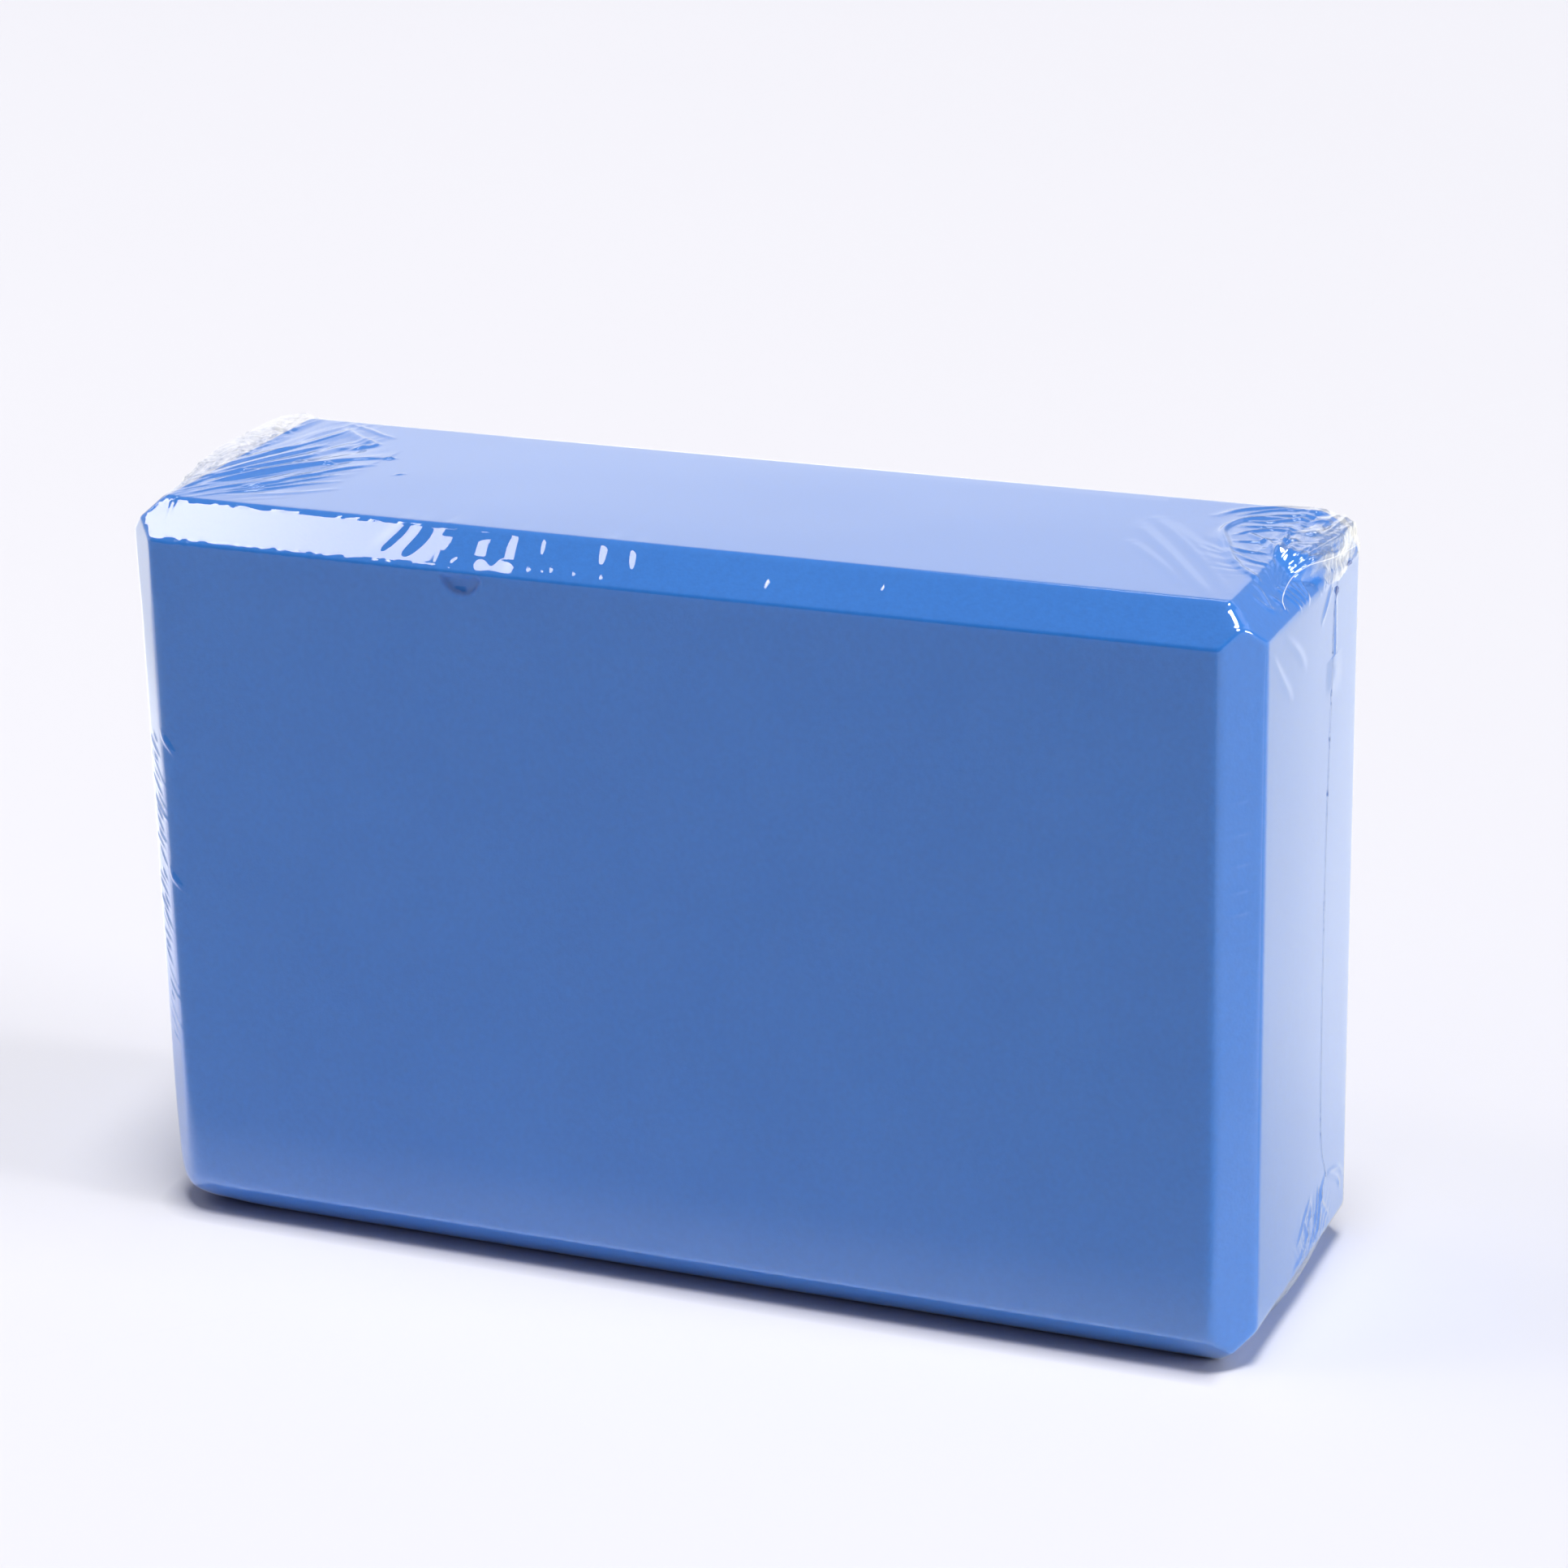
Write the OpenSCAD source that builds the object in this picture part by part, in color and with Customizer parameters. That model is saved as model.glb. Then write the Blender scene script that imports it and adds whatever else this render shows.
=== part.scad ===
// Foam block in clear shrink film.
//
// A brick of closed-cell foam, bevelled along all twelve edges, stands on one of its
// long narrow sides. Clear film is shrunk tight around it. The film was cut and welded
// down both ends and underneath. What was left over at the ends of the welds drew up
// into a flat pucker on the top face and a small roll along the lower bevel of each end.
//
// X runs along the length, Y from the front face to the back face and Z up. The origin
// is the middle of the footprint, on the surface that the wrapped block stands on.

/* [Foam block] */
// Length of the block, end to end
block_l = 230; // [120:5:320]
// Depth of the block, front face to back face
block_d = 75; // [60:5:120]
// Height of the block as it stands
block_h = 150; // [80:5:220]
// Width and height of the 45 degree bevel along every edge
bevel = 7; // [4:0.5:12]
// Radius that softens both sides of every bevel
edge_r = 2; // [0.5:0.25:3]

/* [Nick in the front edge] */
// Place of the nick along the length, from the middle of the block
nick_x = -40.5; // [-45:0.5:45]
// Radius of the round bite that makes the nick
nick_r = 4; // [3:0.5:6]
// Depth of the nick into the front face
nick_depth = 1.6; // [0.5:0.1:2.5]

/* [Shrink film] */
// Wall of the film
film_t = 0.1; // [0.05:0.05:0.3]
// Distance of the end welds behind the middle of the depth
weld_y = 11; // [0:1:15]
// Radius of the welded bead down each end
bead_r = 0.4; // [0.3:0.1:0.8]
// Radius of the two puckers on the top face
top_pucker_r = 11; // [6:1:14]
// Height of the two puckers on the top face
top_pucker_h = 0.9; // [0.3:0.1:1.5]
// Gap between a top pucker and the bevel at its end of the block
top_pucker_gap = 2; // [0:0.5:5]
// Radius of the two rolls along the lower end bevels
foot_roll_r = 0.7; // [0.4:0.1:1.2]
// Length of the two rolls along the lower end bevels
foot_roll_l = 24; // [10:1:30]
// Middle of the two rolls, behind the middle of the depth
foot_roll_y = 5; // [0:1:8]

/* [Hidden] */
$fn = 64;

// Half of the turn between a face and a bevel
half_turn = 22.5;
// From a corner of the bevelled outline to where its rounding starts
round_leg = edge_r * tan(half_turn);
// The prisms that the brick is cut from run past it by this much
cut_over = 5;

// Height of the middle of the block above the surface that the film stands on
mid_z = film_t + block_h / 2;
// Outer planes of the film at the end and the top, from the middle of the block
end_x = block_l / 2 + film_t;
top_z = block_h / 2 + film_t;
// The bevel of the film's outside, which is wider than the foam's because the film
// stands out square to every face
film_bevel = bevel + film_t * (2 - sqrt(2));
// Middle of a top pucker, from the middle of the block
pucker_x = block_l / 2 - bevel - top_pucker_gap - top_pucker_r;

// One corner of a bevelled w by h outline: the four points where its roundings start
// and end, with the outline grown by g
function corner_points(w, h, g) =
    let (r = edge_r + g, diagonal = r * cos(45))
    let (side = [w / 2 - edge_r, h / 2 - bevel - round_leg])
    let (crown = [w / 2 - bevel - round_leg, h / 2 - edge_r])
    [
        side + [r, 0],
        side + [diagonal, diagonal],
        crown + [diagonal, diagonal],
        crown + [0, r]
    ];

// Points mirrored across X, Y or both, still in order around the outline
function flipped(points, sx, sy) =
    let (last = len(points) - 1)
    [for (i = [0 : last]) let (p = points[sx * sy > 0 ? i : last - i]) [sx * p.x, sy * p.y]];

// A w by h outline with bevelled corners and rounded edges, grown by g all round
module outline(w, h, g) {
    points = corner_points(w, h, g);
    polygon(concat(
        points,
        flipped(points, -1, 1),
        flipped(points, -1, -1),
        flipped(points, 1, -1)
    ));
    for (sx = [-1, 1], sy = [-1, 1]) {
        translate([sx * (w / 2 - edge_r), sy * (h / 2 - bevel - round_leg)])
            circle(r = edge_r + g);
        translate([sx * (w / 2 - bevel - round_leg), sy * (h / 2 - edge_r)])
            circle(r = edge_r + g);
    }
}

// The bevelled brick about its own middle, grown by g all round
module brick(g) {
    intersection() {
        linear_extrude(height = block_h + 2 * cut_over, center = true)
            outline(block_l, block_d, g);
        rotate([90, 0, 0])
            linear_extrude(height = block_d + 2 * cut_over, center = true)
                outline(block_l, block_h, g);
        rotate([90, 0, 90])
            linear_extrude(height = block_l + 2 * cut_over, center = true)
                outline(block_d, block_h, g);
    }
}

// The bite out of the edge between the front face and the bevel above it
module nick() {
    translate([nick_x, -block_d / 2 - nick_r + nick_depth, block_h / 2 - bevel])
        sphere(r = nick_r);
}

// A low dome of radius r and height h on the plane z = 0, which is the cap of a large
// ball, and a foot that reaches into the wall of the film
module pucker(r, h) {
    ball_r = (r * r + h * h) / (2 * h);
    foot = film_t / 2;
    intersection() {
        translate([0, 0, h - ball_r])
            sphere(r = ball_r);
        translate([0, 0, -foot])
            cylinder(r = r, h = h + foot);
    }
}

// What the film carries at the end of positive X: the weld down the end face, the
// pucker above it and the roll along the bevel below it
module end_gather() {
    bead_l = block_h - 2 * bevel;
    translate([end_x, weld_y, -bead_l / 2])
        cylinder(r = bead_r, h = bead_l);
    translate([pucker_x, weld_y, top_z])
        pucker(top_pucker_r, top_pucker_h);
    translate([end_x - film_bevel / 2, foot_roll_y, film_bevel / 2 - top_z])
        rotate([90, 0, 0])
            cylinder(r = foot_roll_r, h = foot_roll_l, center = true);
}

module foam_block() {
    color("steelblue")
        translate([0, 0, mid_z])
            difference() {
                brick(0);
                nick();
            }
}

module shrink_film() {
    color("lightsteelblue", 0.5)
        translate([0, 0, mid_z])
            difference() {
                union() {
                    brick(film_t);
                    end_gather();
                    mirror([1, 0, 0]) end_gather();
                }
                brick(0);
            }
}

foam_block();
shrink_film();
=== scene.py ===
# %% [markdown]
# # A foam brick in clear shrink film
#
# The real object is a bevelled brick of closed-cell foam, 230 x 75 x 150 mm, sealed in a bag of
# clear shrink film. The foam is matt and blue. The film is what catches the light: it is tight over
# the faces, it is gathered into puckers where the end seams meet the top, and it carries every
# bright streak on the object.
#
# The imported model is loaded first, as a fixed frame. It gives the size of the foam, from which all
# places below are worked out. Helpers work in millimetres from the middle of the brick, and each
# mesh is turned into metres when it is made.

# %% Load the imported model
import math
from itertools import product

import bpy
import numpy as np
from mathutils import Matrix, Vector


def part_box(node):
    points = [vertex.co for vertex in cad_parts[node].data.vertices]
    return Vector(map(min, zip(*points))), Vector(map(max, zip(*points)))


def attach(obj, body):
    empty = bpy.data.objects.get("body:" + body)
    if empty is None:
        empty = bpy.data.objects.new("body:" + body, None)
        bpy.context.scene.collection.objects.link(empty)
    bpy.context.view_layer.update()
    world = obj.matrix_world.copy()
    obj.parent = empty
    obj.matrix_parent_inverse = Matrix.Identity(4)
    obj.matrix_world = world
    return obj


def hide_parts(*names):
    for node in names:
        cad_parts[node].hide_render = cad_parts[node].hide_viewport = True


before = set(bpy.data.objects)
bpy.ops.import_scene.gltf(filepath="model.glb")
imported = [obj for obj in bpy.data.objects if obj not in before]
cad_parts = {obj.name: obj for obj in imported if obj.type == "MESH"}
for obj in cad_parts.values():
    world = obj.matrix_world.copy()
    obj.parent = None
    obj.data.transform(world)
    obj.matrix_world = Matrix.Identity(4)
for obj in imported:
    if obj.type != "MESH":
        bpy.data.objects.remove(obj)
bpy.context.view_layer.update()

MM = 0.001
foam_low, foam_high = (np.array(corner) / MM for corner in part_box("foam_block"))
centre = (foam_low + foam_high) / 2
half_size = (foam_high - foam_low) / 2
print("foam block, mm:", np.round(half_size * 2, 2), "centre", np.round(centre, 2))

# %% [markdown]
# ## Camera
#
# The brick is seen from a little to its right and from above, through a long lens, so its edges
# stay nearly parallel. The camera is leaned over by about a degree. A camera looks along its own
# -Z with +Y up, so its matrix is built from three directions: right, up and back.

# %% Camera
camera_place = Vector((0.331, -0.7803, 0.3957))
azimuth = math.radians(22.44)
elevation = math.radians(19.68)
lean = math.radians(-1.165)

ahead = Vector((-math.sin(azimuth) * math.cos(elevation),
                math.cos(azimuth) * math.cos(elevation),
                -math.sin(elevation)))
level = Vector((math.cos(azimuth), math.sin(azimuth), 0))
upward = level.cross(ahead)
right = level * math.cos(lean) + upward * math.sin(lean)
top = upward * math.cos(lean) - level * math.sin(lean)


def add_object(name, data):
    """Put a new object with this data into the scene."""
    thing = bpy.data.objects.new(name, data)
    bpy.context.scene.collection.objects.link(thing)
    return thing


camera = add_object("camera", bpy.data.cameras.new("camera"))
camera.data.lens = 105.3
camera.data.sensor_width = 36
camera.data.clip_start = 0.05
camera.data.clip_end = 100
camera.matrix_world = Matrix.Translation(camera_place) @ Matrix((right, top, -ahead)).transposed().to_4x4()
bpy.context.scene.camera = camera
bpy.context.scene.view_settings.view_transform = "Standard"
print("camera stands", round(camera_place.length, 3), "m from the middle of the base")

# %% [markdown]
# ## Node helpers
#
# Materials are node trees. These helpers keep the tree-building lines short: one adds a node and
# feeds its inputs, with plain values or with the outputs of earlier nodes, and the rest make the few
# steps that are used most, such as a smooth ramp, a sum or a colour mix.

# %% Node helpers
def feed(tree, target, value):
    """Give an input socket a plain value, or join it to the output socket that it is given."""
    if isinstance(value, bpy.types.NodeSocket):
        tree.links.new(value, target)
    else:
        target.default_value = value


def add_node(tree, kind, values=None, **settings):
    """Add a node, set its properties, and feed its input sockets by name or by number."""
    node = tree.nodes.new(kind)
    for name, value in settings.items():
        setattr(node, name, value)
    for name, value in (values or {}).items():
        feed(tree, node.inputs[name], value)
    return node


def ramp(tree, source, start, end, low=0.0, high=1.0):
    """Low where the source is below start, high above end, and a smooth rise between them."""
    values = {"Value": source, "From Min": start, "From Max": end, "To Min": low, "To Max": high}
    return add_node(tree, "ShaderNodeMapRange", values, interpolation_type="SMOOTHSTEP").outputs["Result"]


def sums(tree, operation, first, second):
    """One step of arithmetic. Either side is a socket or a plain number."""
    return add_node(tree, "ShaderNodeMath", {0: first, 1: second}, operation=operation).outputs["Value"]


def blend(tree, factor, first, second, **settings):
    """A colour mix. Each part is a socket or a plain value."""
    node = add_node(tree, "ShaderNodeMix", data_type="RGBA", **settings)
    for name, value in (("Factor", factor), ("A", first), ("B", second)):
        feed(tree, next(s for s in node.inputs if s.name == name and s.enabled), value)
    return next(s for s in node.outputs if s.name == "Result" and s.enabled)


def mirror_rays(tree):
    """1 for rays that come off or through gloss, 0 for the camera and for plain light."""
    path = add_node(tree, "ShaderNodeLightPath")
    return sums(tree, "MAXIMUM", path.outputs["Is Glossy Ray"], path.outputs["Is Transmission Ray"])


def camera_rays(tree):
    """1 for rays that come straight from the camera, 0 for all others."""
    return add_node(tree, "ShaderNodeLightPath").outputs["Is Camera Ray"]


def new_material(name):
    """An empty node material, with its tree."""
    material = bpy.data.materials.new(name)
    material.use_nodes = True
    material.node_tree.nodes.clear()
    return material, material.node_tree


def show(tree, shader, kind="ShaderNodeOutputMaterial"):
    """End a tree: join its shader to an output node."""
    add_node(tree, kind, {"Surface": shader})


print("node helpers are ready, from add_node to show")

# %% [markdown]
# ## A tone that is never quite even
#
# No real surface has one flat colour. The floor has slow clouds, the foam has mottles a few
# millimetres across, and melted film changes from speck to speck. The same effect serves all of
# them, so it is a node group: two tones, and noise of a given scale that drifts between them.

# %% Uneven tone group
uneven_tone = bpy.data.node_groups.new("uneven_tone", "ShaderNodeTree")
for name, kind in (("Scale", "NodeSocketFloat"), ("Detail", "NodeSocketFloat"),
                   ("First", "NodeSocketColor"), ("Second", "NodeSocketColor")):
    uneven_tone.interface.new_socket(name, in_out="INPUT", socket_type=kind)
uneven_tone.interface.new_socket("Colour", in_out="OUTPUT", socket_type="NodeSocketColor")
given = add_node(uneven_tone, "NodeGroupInput").outputs
place = add_node(uneven_tone, "ShaderNodeTexCoord").outputs["Object"]
noise = add_node(uneven_tone, "ShaderNodeTexNoise",
                 {"Vector": place, "Scale": given["Scale"], "Detail": given["Detail"]}).outputs["Fac"]
add_node(uneven_tone, "NodeGroupOutput",
         {"Colour": blend(uneven_tone, noise, given["First"], given["Second"])})


def uneven(tree, scale, detail, first, second):
    """The colour of an uneven tone group between two tones."""
    values = {"Scale": scale, "Detail": detail, "First": (*first, 1), "Second": (*second, 1)}
    return add_node(tree, "ShaderNodeGroup", values, node_tree=uneven_tone).outputs["Colour"]


print("group sockets:", [item.name for item in uneven_tone.interface.items_tree])

# %% [markdown]
# ## Studio
#
# The brick stands on a plain white floor in a white studio. A big soft light hangs above it and
# leans a little to the front, so the only dark shadow is the thin one under the lower bevel, deepened
# by painted shade on the floor. A second soft light stands low on the right and throws the faint
# shadow on the left. A small softbox high on the left is seen only as a mirror image, in the film on
# the top bevel. Film mirrors the room too, so the room has to be there, though the camera itself sees
# plain white.

# %% Floor
FLOOR_REACH = 9.0  # metres, so that its edges are far out of sight
FLOOR_DROP = 0.0001  # below the film, so that the two never share a plane
floor_mesh = bpy.data.meshes.new("floor")
floor_mesh.from_pydata([(x * FLOOR_REACH, y * FLOOR_REACH, 0)
                        for x, y in ((-1, -1), (1, -1), (1, 1), (-1, 1))], [], [(0, 1, 2, 3)])
floor = add_object("floor", floor_mesh)
floor.location.z = -FLOOR_DROP
print("floor, m:", 2 * FLOOR_REACH, "square")

# %% [markdown]
# The floor is matt white paint. The camera sees its tone, with painted shade close in under the
# lower bevels, where little light gets in. Film mirrors the floor too, and a floor in a studio is not
# evenly bright, so mirror rays get painted light that changes from place to place: brighter to the
# left and right of the brick and behind it, with one bright painted card of light behind on the right.
# A real floor could be lit unevenly instead, but then the block would be lit unevenly with it.

# %% Floor material
floor_finish, tree = new_material("matt_white_floor")
place = add_node(tree, "ShaderNodeTexCoord").outputs["Object"]
parts = add_node(tree, "ShaderNodeSeparateXYZ", {"Vector": place})
x, y = parts.outputs["X"], parts.outputs["Y"]
tone = uneven(tree, 3.0, 2.0, (0.718, 0.713, 0.757), (0.730, 0.725, 0.768))

# What the camera sees: the tone, with painted shade from an ambient occlusion node close in under the
# block, but not past its right end.
corner = add_node(tree, "ShaderNodeAmbientOcclusion", {"Distance": 0.008}, samples=4)
outside_painted_shade = sums(tree, "MAXIMUM", corner.outputs["AO"], ramp(tree, x, 0.102, 0.112))
tone = blend(tree, outside_painted_shade, (0.13, 0.13, 0.22, 1), tone)

# What the film mirrors is painted light on the floor: brighter towards the back, and then one place at a
# time.
left_side = sums(tree, "SUBTRACT", ramp(tree, x, -0.13, -0.26, 0.0, 0.75),
                 ramp(tree, x, -0.33, -0.46, 0.0, 0.53))
left_side = sums(tree, "MULTIPLY", left_side, ramp(tree, y, -0.06, -0.02))
right_side = sums(tree, "MULTIPLY", ramp(tree, x, 0.12, 0.3, 0.0, 0.36), ramp(tree, y, 0.0, -0.04))
under_edge = sums(tree, "MULTIPLY", ramp(tree, y, -0.085, -0.05, 0.0, 0.35), ramp(tree, y, 0.0, -0.03))
# The painted light card: a bright patch of painted light on the mirrored floor behind on the right, with a
# slanted edge.
PAINTED_CARD_SLOPE = 3.61  # the card's edge runs back this much for each step to the right
painted_light_card = sums(tree, "SUBTRACT", y, sums(tree, "MULTIPLY", x, PAINTED_CARD_SLOPE))
painted_light_card = sums(tree, "MULTIPLY", ramp(tree, painted_light_card, -0.46, -0.365, -0.05, 0.28), ramp(tree, x, 0.11, 0.125))
painted_light_card = sums(tree, "MULTIPLY", painted_light_card, ramp(tree, y, -0.04, 0.0))
mirrored = ramp(tree, y, -0.15, 0.2, 0.5, 1.0)
for extra in (left_side, right_side, under_edge, painted_light_card):
    mirrored = sums(tree, "ADD", mirrored, extra)

# The painted light on the mirrored floor is cool on the left of the block, warm on the right and white far
# to the left.
tint = blend(tree, ramp(tree, x, -0.12, 0.12), (0.98, 1.0, 1.14, 1), (1.0, 0.985, 0.90, 1))
tint = blend(tree, ramp(tree, x, -0.2, -0.4), tint, (1.0, 1.0, 1.0, 1))
mirrored = blend(tree, 1.0, tint, mirrored, blend_type="MULTIPLY")

# Light that bounces off the floor onto the block sees one even tone.
lighting = blend(tree, camera_rays(tree), (0.88, 0.88, 0.9, 1), tone)
shown = blend(tree, mirror_rays(tree), lighting, mirrored)
paint = add_node(tree, "ShaderNodeBsdfPrincipled",
                 {"Base Color": shown, "Roughness": 0.9, "Specular IOR Level": 0.1})
show(tree, paint.outputs["BSDF"])
floor_mesh.materials.append(floor_finish)
print("floor material:", len(tree.nodes), "nodes")

# %% [markdown]
# The room is painted on the world: bright near the horizon and dim overhead, with soft round patches
# for a wall, a doorway, a dark front, a bright corner and a small skylight. A patch needs only the
# angle between two directions, so it is a dot product and a ramp. Modelled walls would do the same
# job, but they would also shade the object.

# %% World
world = bpy.data.worlds.new("studio")
world.use_nodes = True
bpy.context.scene.world = world
tree = world.node_tree
tree.nodes.clear()
direction = add_node(tree, "ShaderNodeTexCoord").outputs["Generated"]
parts = add_node(tree, "ShaderNodeSeparateXYZ", {"Vector": direction})
height = parts.outputs["Z"]


def room_patch(tree, middle, wide, tight):
    """1 in a soft round patch of the room about a direction, 0 away from it."""
    node = add_node(tree, "ShaderNodeVectorMath", {0: direction, 1: middle}, operation="DOT_PRODUCT")
    return ramp(tree, node.outputs["Value"], math.cos(math.radians(wide)), math.cos(math.radians(tight)))


room = blend(tree, ramp(tree, height, 0.0, 0.28), (0.95, 0.95, 1.0, 1), (0.35, 0.40, 0.48, 1))
wall_tone = blend(tree, ramp(tree, height, 0.266, 0.289), (1.4, 1.4, 1.45, 1), (1.26, 1.26, 1.33, 1))
room_patches = {
    "door": ((0.337, 0.870, 0.360), 30, 12, (0.45, 0.47, 0.50, 1)),
    "front_of_room": ((0.05, -0.975, 0.22), 48, 30, (0.10, 0.12, 0.16, 1)),
    "high_right": ((0.33, 0.70, 0.63), 21, 12, (1.0, 1.0, 1.08, 1)),
    "skylight": ((-0.23, 0.41, 0.88), 8, 6, (5.0, 5.0, 5.0, 1)),
    "wall": ((-0.405, 0.861, 0.304), 26, 13, wall_tone),
}
for middle, wide, tight, patch_tone in room_patches.values():
    room = blend(tree, room_patch(tree, middle, wide, tight), room, patch_tone)
lit = blend(tree, mirror_rays(tree), (0.1, 0.1, 0.11, 1), room)
seen = blend(tree, camera_rays(tree), lit, (0.93, 0.92, 0.97, 1))
sky = add_node(tree, "ShaderNodeBackground", {"Color": seen, "Strength": 1.0})
show(tree, sky.outputs["Background"], "ShaderNodeOutputWorld")
print("room patches:", list(room_patches))

# %% [markdown]
# Four lamps light the brick. Three are far soft suns, whose width sets how soft the shadows are. The
# fourth is the softbox. It is dimmer towards one side, as a real one is at its far end, and it was
# placed by working out which part of the room the film on the top bevel mirrors.

# %% Lamps
def add_sun(name, towards, level, width):
    """A far soft light from a direction. Level 1 makes a white surface that faces it render as white."""
    data = bpy.data.lights.new(name, "SUN")
    data.energy = level * math.pi
    data.angle = math.radians(width)
    lamp = add_object(name, data)
    lamp.rotation_mode = "QUATERNION"
    lamp.rotation_quaternion = Vector(towards).to_track_quat("Z", "Y")


add_sun("overhead_light", towards=(0.09, -0.10, 0.99), level=0.86, width=18)
add_sun("side_light", towards=(0.96, 0.0, 0.29), level=0.7, width=20)
add_sun("left_fill", towards=(-0.85, -0.15, 0.45), level=0.2, width=60)

# The softbox faces the floor, and is over a quarter dimmer at its right side.
SOFTBOX_LEVEL = 10.2
softbox = bpy.data.lights.new("bevel_softbox", "AREA")
softbox.shape = "RECTANGLE"
softbox.size, softbox.size_y = 0.296, 0.355
softbox.energy = SOFTBOX_LEVEL * math.pi * softbox.size * softbox.size_y
softbox.color = (1, 0.90, 0.80)
softbox.use_nodes = True
tree = softbox.node_tree
spot = add_node(tree, "ShaderNodeNewGeometry").outputs["Parametric"]
spot = add_node(tree, "ShaderNodeSeparateXYZ", {"Vector": spot})
feed(tree, tree.nodes["Emission"].inputs["Strength"], ramp(tree, spot.outputs["X"], 0.45, 0.95, 1.0, 0.72))
lamp = add_object("bevel_softbox", softbox)
lamp.location = (-0.998, -0.549, 1.65)
lamp.rotation_euler.z = math.radians(-35)

# %% [markdown]
# ## The shape of the brick
#
# The brick is a box with all twelve edges cut at 45 degrees, and the cuts are softened a little
# where the knife and the warm film have pressed them. Rather than bevel a cube, every point of a
# fine grid is pushed out along a ray until it meets eighteen planes: six faces and twelve bevels.
# A smooth maximum of the plane distances rounds each edge by an even amount, and it can be made
# softer at one corner without touching the others. The same surface then carries the foam and,
# a tenth of a millimetre outside it, the film.

# %% The eighteen planes
BEVEL = 7.0
AXES = np.eye(3)
plane_normals = []
plane_reach = []
for axis, sign in product(range(3), (-1, 1)):
    plane_normals.append(sign * AXES[axis])
    plane_reach.append(half_size[axis])
for first, second in ((0, 1), (0, 2), (1, 2)):
    for sign_a, sign_b in product((-1, 1), repeat=2):
        plane_normals.append((sign_a * AXES[first] + sign_b * AXES[second]) / math.sqrt(2))
        plane_reach.append((half_size[first] + half_size[second] - BEVEL) / math.sqrt(2))
plane_normals = np.array(plane_normals)
plane_reach = np.array(plane_reach)
print("planes:", len(plane_normals))


# %% [markdown]
# A smooth maximum has one setting, its sharpness. The higher it is, the tighter the rounding. Here it
# changes from place to place: crisp at the front top edge, round at the lower left corner that was
# pressed, and a little dull at the upper right corner, where a bright comma of light sits.

# %% Smooth brick surface
def smooth_step(value, start, end):
    """0 before start, 1 after end, and a smooth rise between them."""
    part = np.clip((value - start) / (end - start), 0, 1)
    return part * part * (3 - 2 * part)


PLAIN_EDGE = 4.2
CRISPER_TOP, ROUNDER_CORNER, ROUNDER_LEFT, DULLED_CORNER = 2.5, 3.2, 2.2, 4.8
CORE = 12.0  # how far the smaller box lies inside the brick
SOLVER_STEPS = 8


def edge_sharpness(points):
    """How crisp the edges are: lower is rounder. The lower left corner is pressed round."""
    reach = np.linalg.norm((points - (-half_size[0], 0, -half_size[2])) * (1, 0, 1), axis=1)
    pressed = 1 - smooth_step(reach, 9, 30)
    left_edge = smooth_step(-points[:, 0], 96, 108) * smooth_step(-points[:, 1], 18, 30)
    left_edge = left_edge * (1 - pressed) * (1 - smooth_step(points[:, 2], 52, 62))
    corner_reach = np.linalg.norm(points - (half_size - (5, 5, 2)) * (1, -1, 1), axis=1)
    dulled = 1 - smooth_step(corner_reach, 2, 4)
    front_top = smooth_step(points[:, 2], 60, 66) * smooth_step(-points[:, 1], 22, 28)
    return (PLAIN_EDGE + CRISPER_TOP * front_top - ROUNDER_CORNER * pressed - ROUNDER_LEFT * left_edge
            - DULLED_CORNER * dulled)


def brick_distance(points):
    """Signed distance to the softened brick, and the outward direction there."""
    gaps = points @ plane_normals.T - plane_reach
    sharpness = edge_sharpness(points)[:, None]
    top_gap = gaps.max(axis=1, keepdims=True)
    weights = np.exp(sharpness * (gaps - top_gap))
    total = weights.sum(axis=1, keepdims=True)
    outward = (weights / total) @ plane_normals
    distance = top_gap[:, 0] + np.log(total[:, 0]) / sharpness[:, 0]
    return distance, outward


def onto_brick(grid):
    """Move points of the plain box onto the brick, along rays from a smaller box inside it."""
    inner = np.clip(grid, CORE - half_size, half_size - CORE)
    rays = grid - inner  # none for points inside the smaller box, whose faces are dropped later
    rays /= np.linalg.norm(rays, axis=1, keepdims=True)
    travel = np.full(len(grid), CORE)
    for _ in range(SOLVER_STEPS):
        distance, outward = brick_distance(inner + rays * travel[:, None])
        travel -= distance / (outward * rays).sum(axis=1)
    points = inner + rays * travel[:, None]
    outward = brick_distance(points)[1]
    return points, outward / np.linalg.norm(outward, axis=1, keepdims=True)


low_left, high_front = half_size * (-1, -1, -1), half_size * (0, -1, 1)
print("sharpness at the pressed corner and at the front top edge:",
      np.round(edge_sharpness(np.array([low_left, high_front])), 2))

# %% [markdown]
# ## Grids
#
# A grid line runs right round the brick, so lines are laid closer together only where the film is
# puckered or the foam is dented. Each stretch of lines is written as from, to and spacing.

# %% Grid builder
NOMINAL_HALF = np.array((115, 37.5, 75))  # the half sizes that the stretches are written for


def graded_lines(*stretches):
    """Grid lines along one side of the brick, closer in some stretches than in others."""
    lines = []
    for start, end, spacing in stretches:
        count = max(1, round((end - start) / spacing))
        lines.extend(np.linspace(start, end, count, endpoint=False))
    lines.append(stretches[-1][1])
    return np.array(lines)


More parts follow.
